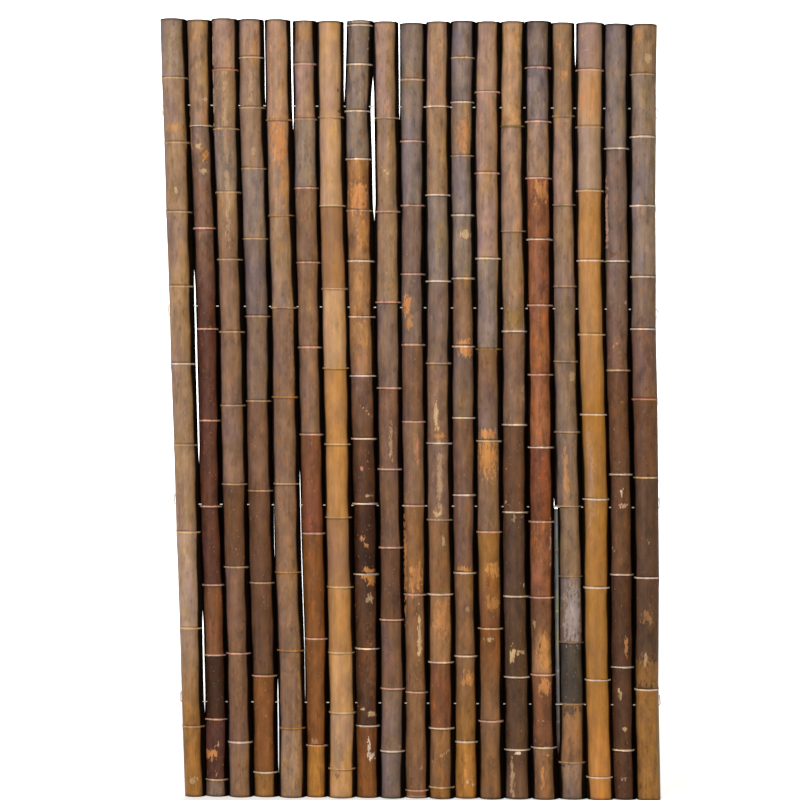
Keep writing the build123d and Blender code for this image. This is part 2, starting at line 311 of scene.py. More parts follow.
@dataclass(frozen=True)
class BambooSkin:
    """Finish of a pole's outer skin: cured and weathered bamboo, waxy and lined along its fibres.

    The painted tones are in the mesh attribute skin. The attribute mark has the tone of the nearest
    stain, and in its alpha how near its edge is. Places worn rough are in worn.
    The fibres are drawn 3 mm wide, coarser than the real 0.3 mm, so that they show.
    """

    name: str
    roughness: float = 0.5
    streak: float = 0.13
    mottle: float = 0.2
    warmth: float = 0.5
    soot: float = 0.45
    cloud: float = 0.3
    patch: float = 0.25
    fleck: float = 0.55
    fibre_mm: tuple[float, float] = (3.0, 60.0)
    streak_mm: tuple[float, float] = (11.0, 170.0)
    hue_mm: tuple[float, float] = (30.0, 95.0)
    cloud_mm: tuple[float, float] = (26.0, 62.0)
    patch_mm: tuple[float, float] = (15.0, 38.0)
    edge_mm: tuple[float, float] = (6.0, 13.0)
    mottle_mm: tuple[float, float] = (19.0, 42.0)
    stain_mm: tuple[float, float] = (13.0, 36.0)
    soot_mm: tuple[float, float] = (9.0, 24.0)
    fleck_mm: tuple[float, float] = (3.6, 8.0)

    def noise(
        self,
        tree: bpy.types.NodeTree,
        coords: bpy.types.NodeSocket,
        size_mm: tuple[float, float],
        detail: float,
        shift: float = 0.0,
    ) -> bpy.types.NodeSocket:
        """Noise drawn out along the pole.

        Args:
            tree: Node tree of the material.
            coords: Object coordinates.
            size_mm: Width across the fibres and length along them.
            detail: Octaves of the noise.
            shift: Offset that makes it differ from other noise.

        Returns:
            Socket of the noise, 0 to 1.
        """
        wide, tall = size_mm
        scale = (1 / (wide * MM), 1 / (wide * MM), 1 / (tall * MM))
        mapping = add_node(
            tree, "ShaderNodeMapping", {"Vector": coords, "Scale": scale, "Location": (shift, shift, shift)}
        )
        texture = add_node(
            tree,
            "ShaderNodeTexNoise",
            {"Vector": mapping.outputs[0], "Scale": 1.0, "Detail": detail, "Roughness": 0.6},
        )
        return texture.outputs[0]

    def mask(
        self,
        tree: bpy.types.NodeTree,
        value: bpy.types.NodeSocket,
        start: float,
        end: float,
        low: float = 0.0,
        high: float = 1.0,
    ) -> bpy.types.NodeSocket:
        """Turns a value into a level that goes from low to high between start and end.

        Args:
            tree: Node tree of the material.
            value: Socket to read.
            start: Value where the level is low.
            end: Value where the level is high.
            low: Level at and before the start.
            high: Level at and past the end.

        Returns:
            Socket of the level.
        """
        level = add_node(
            tree,
            "ShaderNodeMapRange",
            {"Value": value, "From Min": start, "From Max": end, "To Min": low, "To Max": high},
            interpolation_type="SMOOTHSTEP",
        )
        return level.outputs[0]

    def mixed(
        self,
        tree: bpy.types.NodeTree,
        factor: bpy.types.NodeSocket,
        below: bpy.types.NodeSocket,
        above: bpy.types.NodeSocket | tuple,
        blend: str = "MIX",
    ) -> bpy.types.NodeSocket:
        """Lays one colour over another by a factor.

        Args:
            tree: Node tree of the material.
            factor: How much of the colour above shows.
            below: Socket of the colour below.
            above: Colour above, or its socket.
            blend: Blender's name of the way they mix.

        Returns:
            Socket of the mixed colour.
        """
        mix = add_node(
            tree, "ShaderNodeMix", {0: factor, 6: below, 7: above}, data_type="RGBA", blend_type=blend
        )
        return mix.outputs[2]

    def build(self) -> bpy.types.Material:
        """Makes the skin's material.

        Returns:
            The finished material.
        """
        material, tree = new_material(self.name)
        coords = add_node(tree, "ShaderNodeTexCoord").outputs["Object"]
        skin = add_node(tree, "ShaderNodeAttribute", attribute_name="skin").outputs["Color"]
        mark = add_node(tree, "ShaderNodeAttribute", attribute_name="mark")
        worn = add_node(tree, "ShaderNodeAttribute", attribute_name="worn").outputs["Fac"]
        fibre = self.noise(tree, coords, self.fibre_mm, 2.0)
        streak = self.noise(tree, coords, self.streak_mm, 2.0, 3.7)
        mottle = self.noise(tree, coords, self.mottle_mm, 4.0, 7.1)
        stain = self.noise(tree, coords, self.stain_mm, 4.0, 11.3)
        soot = self.noise(tree, coords, self.soot_mm, 4.0, 17.9)
        fleck = self.noise(tree, coords, self.fleck_mm, 1.0, 23.3)
        chip = self.noise(tree, coords, self.edge_mm, 3.0, 31.1)
        chip = self.mask(tree, chip, 0.3, 0.7, -0.34, 0.34)
        ragged = add_node(tree, "ShaderNodeMath", {0: chip, 1: mark.outputs["Alpha"]}, operation="ADD")
        edge = self.mask(tree, ragged.outputs[0], 0.44, 0.53)
        warm = self.mask(tree, stain, 0.54, 0.66, 0.0, self.warmth)
        colour = self.mixed(tree, warm, skin, WARM_STAIN, "MULTIPLY")
        hue = self.noise(tree, coords, self.hue_mm, 3.0, 41.7)
        cool = self.mask(tree, hue, 0.5, 0.68)
        colour = self.mixed(tree, cool, colour, MAUVE_HAZE, "MULTIPLY")
        olive = self.mask(tree, hue, 0.46, 0.3)
        colour = self.mixed(tree, olive, colour, OLIVE_HAZE, "MULTIPLY")
        patch = self.noise(tree, coords, self.patch_mm, 5.0, 53.9)
        peeled = self.mask(tree, patch, 0.6, 0.64, 0.0, self.patch)
        colour = self.mixed(tree, peeled, colour, PEELED_SHEATH, "MULTIPLY")
        cloud = self.noise(tree, coords, self.cloud_mm, 4.0, 67.3)
        dim = self.mask(tree, cloud, 0.52, 0.64, 0.0, self.cloud)
        colour = self.mixed(tree, dim, colour, DARK_CLOUD, "MULTIPLY")
        colour = self.mixed(tree, edge, colour, mark.outputs["Color"])
        sooty = self.mask(tree, soot, 0.55, 0.68, 0.0, self.soot)
        colour = self.mixed(tree, sooty, colour, SOOT_SPOT, "MULTIPLY")
        for factor, depth in ((streak, self.streak), (mottle, self.mottle), (fibre, 0.05)):
            level = self.mask(tree, factor, 0.28, 0.72, 1 - depth, 1 + depth)
            scaled = add_node(tree, "ShaderNodeVectorMath", {0: colour, "Scale": level}, operation="SCALE")
            colour = scaled.outputs[0]
        rubbed = self.mask(tree, fleck, 0.71, 0.76, 0.0, self.fleck)
        open_skin = self.mask(tree, worn, 0.3, 0.0)
        bare = add_node(tree, "ShaderNodeMath", {0: rubbed, 1: open_skin}, operation="MULTIPLY")
        colour = self.mixed(tree, bare.outputs[0], colour, linear(Tone.BLOND.value))
        gloss = self.mask(tree, mottle, 0.3, 0.7, self.roughness - 0.06, self.roughness + 0.12)
        rough = add_node(tree, "ShaderNodeMix", {0: worn, 2: gloss, 3: 0.95}, data_type="FLOAT")
        sheen = self.mask(tree, worn, 0.0, 0.6, 0.25, 0.03)
        height = add_node(tree, "ShaderNodeMath", {0: fibre, 1: stain}, operation="ADD")
        bump = add_node(
            tree, "ShaderNodeBump", {"Height": height.outputs[0], "Strength": 0.3, "Distance": 0.5 * MM}
        )
        shader = add_node(
            tree,
            "ShaderNodeBsdfPrincipled",
            {
                "Base Color": colour,
                "Roughness": rough.outputs[0],
                "Normal": bump.outputs[0],
                "IOR": 1.46,
                "Specular IOR Level": sheen,
            },
        )
        add_node(tree, "ShaderNodeOutputMaterial", {"Surface": shader.outputs[0]})
        return material


@dataclass(frozen=True)
class SawnBamboo:
    """Finish of sawn walls and the inside: pale straw wood dotted with darker fibre bundles."""

    name: str = "sawn_bamboo"
    wood: Tone = Tone.STRAW
    bundle: Tone = Tone.TOBACCO
    bundle_mm: float = 1.3

    def build(self) -> bpy.types.Material:
        """Makes the sawn wood's material.

        Returns:
            The finished material.
        """
        material, tree = new_material(self.name)
        coords = add_node(tree, "ShaderNodeTexCoord").outputs["Object"]
        scale = 1 / (self.bundle_mm * MM)
        mapping = add_node(tree, "ShaderNodeMapping", {"Vector": coords, "Scale": (scale, scale, scale / 30)})
        cells = add_node(tree, "ShaderNodeTexVoronoi", {"Vector": mapping.outputs[0], "Scale": 1.0})
        stain = add_node(tree, "ShaderNodeTexNoise", {"Vector": coords, "Scale": 60.0, "Detail": 4.0})
        dots = add_node(
            tree,
            "ShaderNodeMapRange",
            {
                "Value": cells.outputs["Distance"],
                "From Min": 0.2,
                "From Max": 0.42,
                "To Min": 0.85,
                "To Max": 0.0,
            },
        )
        grain = add_node(
            tree,
            "ShaderNodeMix",
            {0: dots.outputs[0], 6: linear(self.wood.value), 7: linear(self.bundle.value)},
            data_type="RGBA",
        )
        aged = add_node(
            tree,
            "ShaderNodeMix",
            {0: stain.outputs[0], 6: grain.outputs[2], 7: linear(Tone.DRAB.value)},
            data_type="RGBA",
        )
        bump = add_node(
            tree, "ShaderNodeBump", {"Height": dots.outputs[0], "Strength": 0.4, "Distance": 0.3 * MM}
        )
        shader = add_node(
            tree,
            "ShaderNodeBsdfPrincipled",
            {
                "Base Color": aged.outputs[2],
                "Roughness": 0.8,
                "Normal": bump.outputs[0],
                "Specular IOR Level": 0.2,
            },
        )
        add_node(tree, "ShaderNodeOutputMaterial", {"Surface": shader.outputs[0]})
        return material


@dataclass(frozen=True)
class GalvanisedWire:
    """Finish of the wires: drawn steel wire, hot-dip galvanised, dull grey with a few rust bleeds."""

    name: str = "galvanised_wire"
    zinc: str = "#e2ddd4"
    rust: str = "#8a4a24"

    def build(self) -> bpy.types.Material:
        """Makes the wire's material.

        Returns:
            The finished material.
        """
        material, tree = new_material(self.name)
        coords = add_node(tree, "ShaderNodeTexCoord").outputs["Object"]
        spangle = add_node(tree, "ShaderNodeTexNoise", {"Vector": coords, "Scale": 900.0, "Detail": 3.0})
        bleed = add_node(tree, "ShaderNodeTexNoise", {"Vector": coords, "Scale": 140.0, "Detail": 4.0})
        spots = add_node(
            tree,
            "ShaderNodeMapRange",
            {"Value": bleed.outputs[0], "From Min": 0.6, "From Max": 0.7, "To Min": 0.0, "To Max": 0.8},
        )
        colour = add_node(
            tree,
            "ShaderNodeMix",
            {0: spots.outputs[0], 6: linear(self.zinc), 7: linear(self.rust)},
            data_type="RGBA",
        )
        rough = add_node(
            tree,
            "ShaderNodeMapRange",
            {"Value": spangle.outputs[0], "From Min": 0.3, "From Max": 0.7, "To Min": 0.38, "To Max": 0.6},
        )
        shader = add_node(
            tree,
            "ShaderNodeBsdfPrincipled",
            {"Base Color": colour.outputs[2], "Roughness": rough.outputs[0], "Metallic": 0.85},
        )
        add_node(tree, "ShaderNodeOutputMaterial", {"Surface": shader.outputs[0]})
        return material


class MarkKind(Enum):
    """How a mark lies on the skin."""

    BLOT = "ragged patch"
    STREAK = "line along the pole"
    SLASH = "thin scratch that slants down to the right"
    RISE = "thin scratch that slants up to the right"
    BAND = "band right round the pole"


@dataclass(frozen=True)
class Mark:
    """A place on a pole's skin that has another tone.

    Height is above the ground and across is -1 at the pole's left edge and 1 at its right one,
    seen from the front. Tall and wide are its full size. All lengths are in mm.
    """

    tone: Tone
    height: float
    across: float
    tall: float
    wide: float
    kind: MarkKind = MarkKind.BLOT
    strength: float = 0.85

    def distance(self, heights: np.ndarray, turns: np.ndarray, radius: float) -> np.ndarray:
        """How far each vertex is from the mark's middle, as a share of the way to its edge.

        Args:
            heights: Heights of the vertices.
            turns: Angles of the vertices round the pole, 0 at the front.
            radius: The pole's radius there.

        Returns:
            Distance, 1 at the edge.
        """
        side = math.asin(max(-1.0, min(1.0, self.across)))
        swing = (turns - side + math.pi) % (2 * math.pi) - math.pi
        off, up = swing * radius / (self.wide / 2 * MM), (heights - self.height * MM) / (self.tall / 2 * MM)
        if self.kind is MarkKind.BAND:
            return np.abs(up)
        if self.kind is MarkKind.STREAK:
            return (off**4 + up**4) ** 0.25
        if self.kind in (MarkKind.SLASH, MarkKind.RISE):
            lean = -1 if self.kind is MarkKind.SLASH else 1
            drift = heights - (self.height + lean * self.tall / 2 * off) * MM
            return np.maximum(np.abs(off), np.abs(drift) / SCRATCH_HALF_WIDTH)
        return (np.abs(off) ** 2.6 + np.abs(up) ** 2.6) ** (1 / 2.6)


@dataclass
class PoleLine:
    """A stem's middle line and radius by height, read from the level circles of its CAD node."""

    heights: np.ndarray
    xs: np.ndarray
    ys: np.ndarray
    radii: np.ndarray

    @classmethod
    def read(cls, node: str, smallest: float, largest: float) -> "PoleLine":
        """Finds the circles of a CAD node that have a radius in a range.

        Args:
            node: CAD node's name.
            smallest: Smallest radius that counts.
            largest: Largest radius that counts.

        Returns:
            The line through the circles, from the foot up.
        """
        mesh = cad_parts[node].data
        points = np.zeros(len(mesh.vertices) * 3)
        mesh.vertices.foreach_get("co", points)
        points = np.unique(np.round(points.reshape(-1, 3), 6), axis=0)
        levels = np.round(points[:, 2], 5)
        found = []
        for level in np.unique(levels):
            ring = points[levels == level]
            if len(ring) < 16:
                continue
            circle = cls.circle(ring, smallest, largest)
            if circle:
                found.append((level, *circle))
        table = np.array(found)
        near = np.abs(table[:, :1] - table[:, 0]) < 0.2
        widest = np.where(near, table[:, 3], 0).max(1)
        table = table[table[:, 3] > 0.82 * widest]
        return cls(table[:, 0], table[:, 1], table[:, 2], table[:, 3])

    @staticmethod
    def circle(ring: np.ndarray, smallest: float, largest: float) -> tuple[float, float, float] | None:
        """Fits the outer circle of the points in one level.

        Args:
            ring: Points of the level.
            smallest: Smallest radius that counts.
            largest: Largest radius that counts.

        Returns:
            Middle x, middle y and radius, or None where the points make no such circle.
        """
        xy = ring[:, :2]
        middle = (xy.min(0) + xy.max(0)) / 2
        reach = np.hypot(*(xy - middle).T)
        xy = xy[reach > 0.9 * reach.max()]
        for _ in range(3):
            if len(xy) < 12:
                return None
            matrix = np.column_stack([xy, np.ones(len(xy))])
            a, b, c = np.linalg.lstsq(matrix, (xy**2).sum(1), rcond=None)[0]
            x, y = a / 2, b / 2
            radius = math.sqrt(max(c + x * x + y * y, 0))
            miss = np.abs(np.hypot(xy[:, 0] - x, xy[:, 1] - y) - radius)
            if miss.max() < 0.05 * MM and smallest < radius < largest:
                return x, y, radius
            xy = xy[miss <= np.median(miss) * 2 + 1e-6]
        return None

    def middle(self, height: np.ndarray) -> tuple[np.ndarray, np.ndarray]:
        """Where the middle line is at each height."""
        return np.interp(height, self.heights, self.xs), np.interp(height, self.heights, self.ys)

    def nodes(self) -> list[tuple[float, int]]:
        """Finds the scars, which stand proud of the levels beside them.

        Returns:
            Height of each scar, and 1 where the tip side is up or -1 where it is down.
        """
        found = []
        h, r = self.heights, self.radii
        for i in range(1, len(h) - 2):
            flat = SCAR_FLAT[0] < h[i + 1] - h[i] < SCAR_FLAT[1]
            below, above = r[i] - r[i - 1], r[i + 1] - r[i + 2]
            if flat and below > SCAR_PROUD and above > SCAR_PROUD:
                found.append(((h[i] + h[i + 1]) / 2, 1 if below > above else -1))
        return found


@dataclass
class Culm:
    """One bamboo pole: its mesh, which replaces a CAD node, and the tones painted on its skin.

    Tones run from the foot's internode to the head's. A pair is a tone that turns into another.
    """

    number: int
    slot: str
    tones: tuple
    ring: Tone = Tone.CREAM
    faint: tuple[int, ...] = ()
    marks: tuple[Mark, ...] = ()
    # Angles from the front, on the left and on the right, past which a pole's side takes the painted joint
    # shade
    shade: tuple[float, float] = (61.0, 45.0)
    sunned: float = 1.0
    rings: dict[int, Tone] = field(default_factory=dict)
    slits: tuple[tuple[float, float], ...] = ()
    snug: float = 0.45
    grooved: bool = False

    @property
    def name(self) -> str:
        """The CAD node's name."""
        return f"culm_{self.number:02d}"

    def measure(self) -> None:
        """Reads the pole's line, nodes and ends from its CAD node."""
        self.line = PoleLine.read(self.name, *SKIN_RADII)
        low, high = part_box(self.name)
        self.foot, self.head = low.z, high.z
        self.scars = self.line.nodes()
        skin = np.ones(len(self.line.heights), bool)
        for height, tip in self.scars:
            off = (self.line.heights - height) * tip
            skin &= (off < -12.5 * MM) | (off > 16.5 * MM)
        skin &= (self.line.heights > self.foot + 0.5 * MM) & (self.line.heights < self.head - 0.5 * MM)
        heights, radii = list(self.line.heights[skin]), list(self.line.radii[skin])
        for scar, _ in self.scars:
            above = next((k for k, height in enumerate(heights) if height > scar), 0)
            if above and abs(radii[above] - radii[above - 1]) > FULLER_STEP:
                heights[above:above] = [scar - 2.1 * MM, scar - 1.5 * MM]
                radii[above:above] = [radii[above - 1], radii[above]]
        self.skin_heights, self.skin_radii = np.array(heights), np.array(radii)

    def radius(self, height: np.ndarray) -> np.ndarray:
        """The plain skin's radius at each height, without nodes."""
        return np.interp(height, self.skin_heights, self.skin_radii)

    def rise(self, height: np.ndarray) -> np.ndarray:
        """How far the nodes and the fuller internodes stand above the plain skin.

        Args:
            height: Heights to read.

        Returns:
            Rise at each height.
        """
        offsets, rises = np.array(NODE_OUTLINE_MM).T * MM
        total = np.zeros(len(height))
        for scar, tip in self.scars:
            total += np.interp((height - scar) * tip, offsets, rises, left=0, right=0)
        return total

    def rows(self) -> list[float]:
        """Heights of the mesh's rows: fine at each node and even between them.

        Returns:
            The heights, from the foot up.
        """
        low, high = self.foot + SAWN_EDGE, self.head - SAWN_EDGE
        fine = [scar + tip * off * MM for scar, tip in self.scars for off, _ in NODE_OUTLINE_MM]
        fine = sorted(h for h in fine if low + MM < h < high - MM)
        stops = [low, *fine, high]
        rows = [low]
        for start, end in zip(stops, stops[1:]):
            steps = max(1, round((end - start) / ROW_HEIGHT))
            rows += [start + (end - start) * (k + 1) / steps for k in range(steps)]
        return rows

    def outline(self) -> list[tuple[float, float]]:
        """The pole's outline in section: the lowest partition, the sawn foot, the skin, and the head.

        Returns:
            Radius and height of each point.
        """
        rows = np.array(self.rows())
        outer = self.radius(rows) + self.rise(rows)
        first, last = self.scars[0][0] - SEPTUM / 2, self.scars[-1][0] + SEPTUM / 2
        foot_in, head_in = (float(self.radius(np.array([h]))[0]) - POLE_WALL for h in (self.foot, self.head))
        edge = SAWN_EDGE * 0.35
        points = [(0.0, first), (foot_in, first), (foot_in, self.foot), (outer[0] - SAWN_EDGE, self.foot)]
        points.append((outer[0] - edge, self.foot + edge))
        points += list(zip(outer, rows))
        points.append((outer[-1] - edge, self.head - edge))
        points += [(outer[-1] - SAWN_EDGE, self.head), (head_in, self.head), (head_in, last), (0.0, last)]
        return [(float(r), float(h)) for r, h in points]

    def grooved_radius(self, heights: np.ndarray, turns: np.ndarray, radii: np.ndarray) -> np.ndarray:
        """Radii with the shallow groove above the branch cut in.

        Args:
            heights: Heights of the vertices.
            turns: Angles round the pole.
            radii: Radii before the groove.

        Returns:
            Radii after the groove.
        """
        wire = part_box("wire_lower")[0].z
        above = [scar for scar, _ in self.scars if scar > wire]
        start, end = above[0] + 3 * MM, above[1] - 13 * MM
        share = np.clip((heights - start) / (end - start), 0, 1)
        bite = GROOVE_BITE[0] + (GROOVE_BITE[1] - GROOVE_BITE[0]) * share
        away = radii + GROOVE_RADIUS - bite
        swing = np.abs(turns - GROOVE_TURN)
        reach = GROOVE_RADIUS**2 - (away * np.sin(swing)) ** 2
        cut = away * np.cos(swing) - np.sqrt(np.maximum(reach, 0))
        inside = (reach > 0) & (swing < 1.2) & (heights > start) & (heights < end)
        return np.where(inside, np.minimum(radii, cut), radii)

    def shaped(self, mesh: bpy.types.Mesh, neighbours: list["Culm"]) -> None:
        """Bends the straight pole along its line and presses it to its neighbours.

        Args:
            mesh: The straight pole's mesh, changed in place.
            neighbours: The poles on its left and right, where there are any.
        """
        co = np.zeros(len(mesh.vertices) * 3)
        mesh.vertices.foreach_get("co", co)
        x, y, z = co.reshape(-1, 3).T
        radii, turns = np.hypot(x, y), np.arctan2(x, -y)
        skin = radii > self.radius(z) - 2 * MM
        mx, my = self.line.middle(z)
        grown = radii + np.where(skin, OVALITY * np.cos(2 * turns + self.number), 0)
        if self.grooved:
            grown = np.where(skin, self.grooved_radius(z, turns, grown), grown)
        for other in neighbours:
            ox, oy = other.line.middle(z)
            apart = np.hypot(ox - mx, oy - my)
            gap = apart - self.radius(z) - other.radius(z)
            close = gap / 2 * max(self, other, key=lambda culm: culm.number).shut(z)
            toward = np.arctan2(ox - mx, my - oy)
            swing = np.abs((turns - toward + math.pi) % (2 * math.pi) - math.pi)
            press = np.clip(1 - (swing / PRESS_SPREAD) ** 2, 0, 1) ** 2
            room = np.maximum(close + CLOSING - self.rise(z), 0)
            grown = grown + np.where(skin, room * press, 0)
        tilt = 0.0
        for scar, _ in self.scars:
            lean = NODE_TILT * math.sin(scar * 913 + self.number)
            fade = np.exp(-(((z - scar) / NODE_TILT_REACH) ** 2))
            tilt = tilt + fade * lean * np.sin(turns + scar * 37)
        steady = skin & (z > self.foot + STEADY_END) & (z < self.head - STEADY_END)
        z2 = z + np.where(steady, tilt, 0)
        placed = np.column_stack([mx + grown * np.sin(turns), my - grown * np.cos(turns), z2])
        mesh.vertices.foreach_set("co", placed.ravel())
        mesh.update()

    def shut(self, heights: np.ndarray) -> np.ndarray:
        """How far the gap to the pole on the left is closed: least in a slit that shows daylight.

        Args:
            heights: Heights to read.

        Returns:
            Share of the gap that is closed at each height.
        """
        closed = np.ones(len(heights))
        for low, high in self.slits:
            inside = np.minimum(heights - low * MM, high * MM - heights)
            beyond = ease(inside, SLIT_TAPER / 2, -SLIT_TAPER / 2)
            closed = np.minimum(closed, self.snug + (1 - self.snug) * beyond)
        return closed

    def tone_of(self, heights: np.ndarray) -> np.ndarray:
        """The internodes' tones at each height, before any mark.

        Args:
            heights: Heights of the vertices.

        Returns:
            Linear RGB for each vertex.
        """
        stops = [self.foot, *(scar for scar, _ in self.scars), self.head]
        colours = np.zeros((len(heights), 3))
        for index, (start, end) in enumerate(zip(stops, stops[1:])):
            tone = self.tones[min(index, len(self.tones) - 1)]
            low, high = tone if isinstance(tone, tuple) else (tone, tone)
            share = ease(heights, start, end)[:, None]
            blend = np.array(linear(low.value)[:3]) * (1 - share) + np.array(linear(high.value)[:3]) * share
            here = (heights >= start - 1e-9) & (heights <= end + 1e-9)
            colours[here] = blend[here]
        return colours

    def paint(self, mesh: bpy.types.Mesh, sides: tuple[bool, bool]) -> None:
        """Writes the skin's tones, marks, painted shade and worn places to the mesh.

        Args:
            mesh: The pole's finished mesh.
            sides: Whether there is a neighbour on the left and on the right.
        """
        co = np.zeros(len(mesh.vertices) * 3)
        mesh.vertices.foreach_get("co", co)
        points = co.reshape(-1, 3)
        # A scar's edge stays inside the CAD's box
        points[:, 1] = np.clip(points[:, 1], CAD_BOX[0][1], CAD_BOX[1][1])
        mesh.vertices.foreach_set("co", points.ravel())
        z = points[:, 2]
        mx, my = self.line.middle(z)
        turns = np.arctan2(points[:, 0] - mx, my - points[:, 1])
        colours = self.tone_of(z) * self.drift(turns, z)
        marked, nearness, nearest = colours.copy(), np.zeros(len(z)), np.full(len(z), FAR)
        clear = np.zeros(len(z))
        for mark in self.marks:
            radius = float(self.radius(np.array([mark.height * MM]))[0])
            distance = mark.distance(z, turns, radius)
            here = distance < np.minimum(nearest, FAR)
            tone = np.array(linear(mark.tone.value)[:3])
            marked[here] = colours[here] * (1 - mark.strength) + tone * mark.strength
            nearness[here] = np.clip(1 - distance[here] / 2, 0, 1)
            nearest[here] = distance[here]
            clear[here] = EDGE_MARK_LIGHT if abs(mark.across) > EDGE_MARK_ACROSS else 0.0
        # Painted shade in the joints: the poles' sides darken where they meet, and there the skin is also
        # made rough and dull
        joint_shade = self.joint_shading(turns, z, sides)
        worn = ease(joint_shade, 0.7, 0.1)
        for index, (scar, tip) in enumerate(self.scars):
            off = (z - scar) * tip / MM
            # Below each scar's lip: painted shadow with grime, then the scar's own pale band
            shadow_and_grime = (off > SHADOW_AND_GRIME_BAND_MM[0]) & (off < SHADOW_AND_GRIME_BAND_MM[1])
            colours[shadow_and_grime] *= SHADOW_AND_GRIME_LEFT
            band = (off > SCAR_BAND_MM[0]) & (off < SCAR_BAND_MM[1])
            tone = self.rings.get(index, self.ring)
            share = FAINT_RING_COVER if index in self.faint else RING_COVER
            colours[band] = colours[band] * (1 - share) + np.array(linear(tone.value)[:3]) * share
            nearness[band | shadow_and_grime] = 0.0
            joint_shade[band] = np.maximum(joint_shade[band], RING_LIGHT)
            worn[band] = 1.0
        for height in (self.head, self.foot):
            depth = np.abs(z - height) / MM
            rim = (depth > RIM_BAND_MM[0]) & (depth < RIM_BAND_MM[1])
            colours[rim] = colours[rim] * RIM_LEFT + np.array(linear(self.ring.value)[:3]) * RIM_COVER
            colours[depth <= RIM_BAND_MM[0]] *= CUT_LEFT
            nearness[depth < RIM_BAND_MM[1]] = 0.0
        # Painted shade: the joints' dark sides darken the skin, and the marks except those at a pole's very
        # edge
        colours *= joint_shade[:, None]
        marked *= np.maximum(joint_shade, clear)[:, None]
        for name, rgb, alpha in (("skin", colours, np.ones(len(z))), ("mark", marked, nearness)):
            rgba = np.column_stack([rgb, alpha]).astype(np.float32)
            mesh.attributes.new(name, "FLOAT_COLOR", "POINT").data.foreach_set("color", rgba.ravel())
        mesh.attributes.new("worn", "FLOAT", "POINT").data.foreach_set("value", worn.astype(np.float32))

    def drift(self, turns: np.ndarray, heights: np.ndarray) -> np.ndarray:
        """Tint that turns from mauve on a pole's left to gold on its right, as the sun has left it.

        Args:
            turns: Angles round the pole, 0 at the front.
            heights: Heights of the vertices.

        Returns:
            Factors for red, green and blue.
        """
        wander = 0.35 * np.sin(heights * 5.1 + self.number * 2.3) + 0.2 * np.sin(heights * 17.0 + self.number)
        side = np.sin(turns + wander)[:, None] * self.sunned
        return 1 + side * np.array(GOLD_DRIFT)

    def joint_shading(self, turns: np.ndarray, heights: np.ndarray, sides: tuple[bool, bool]) -> np.ndarray:
        """Painted shade on a pole's sides where it meets its neighbours: dark deep in each joint, with softer
        shade beside it.

        Args:
            turns: Angles round the pole, 0 at the front.
            heights: Heights of the vertices.
            sides: Whether there is a neighbour on the left and on the right.

        Returns:
            Share of the tone's lightness that is left.
        """
        # Painted shade: lightness left on each side past its shade angle
        unshaded = np.ones(len(turns))
        swing = np.degrees(np.abs(turns))
        front = np.where(swing > 90, 180 - swing, swing)
        for there, side, limit in zip(sides, (-1, 1), self.shade):
            slow = 4.5 * np.sin(heights * 7.3 + self.number * (1.7 + side))
            ripple = slow + 2.5 * np.sin(heights * 41 + self.number)
            if there:
                dark = JOINT_SHADE_DEEP * ease(front, limit + ripple - 4, limit + ripple + 5)
                soft = JOINT_SHADE_SOFT * ease(front, limit + ripple - 28, limit + ripple)
                unshaded = np.where(turns * side > 0, (1 - dark) * (1 - soft), unshaded)
        return unshaded

    def build(self, materials: dict[str, bpy.types.Material], neighbours: list["Culm"]) -> bpy.types.Object:
        """Makes the pole's piece, which stands for its CAD node.

        Args:
            materials: The finishes by name.
            neighbours: The poles next to it.

        Returns:
            The finished piece.
        """
        bm = spin_outline(self.outline(), COLUMNS)
        for face in bm.faces:
            middle = face.calc_center_median()
            wall = float(self.radius(np.array([middle.z]))[0]) - 1.5 * MM
            face.material_index = int(middle.xy.length < wall)
            face.smooth = True
        mesh = bpy.data.meshes.new(self.name + "_pole")
        bm.to_mesh(mesh)
        bm.free()
        self.shaped(mesh, neighbours)
        beside = [other.number for other in neighbours]
        self.paint(mesh, (self.number - 1 in beside, self.number + 1 in beside))
        piece = bpy.data.objects.new(self.name + "_pole", mesh)
        bpy.context.scene.collection.objects.link(piece)
        mesh.materials.append(materials[self.slot])
        mesh.materials.append(materials["sawn_bamboo"])
        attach(piece, "root")
        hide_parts(self.name)
        return piece


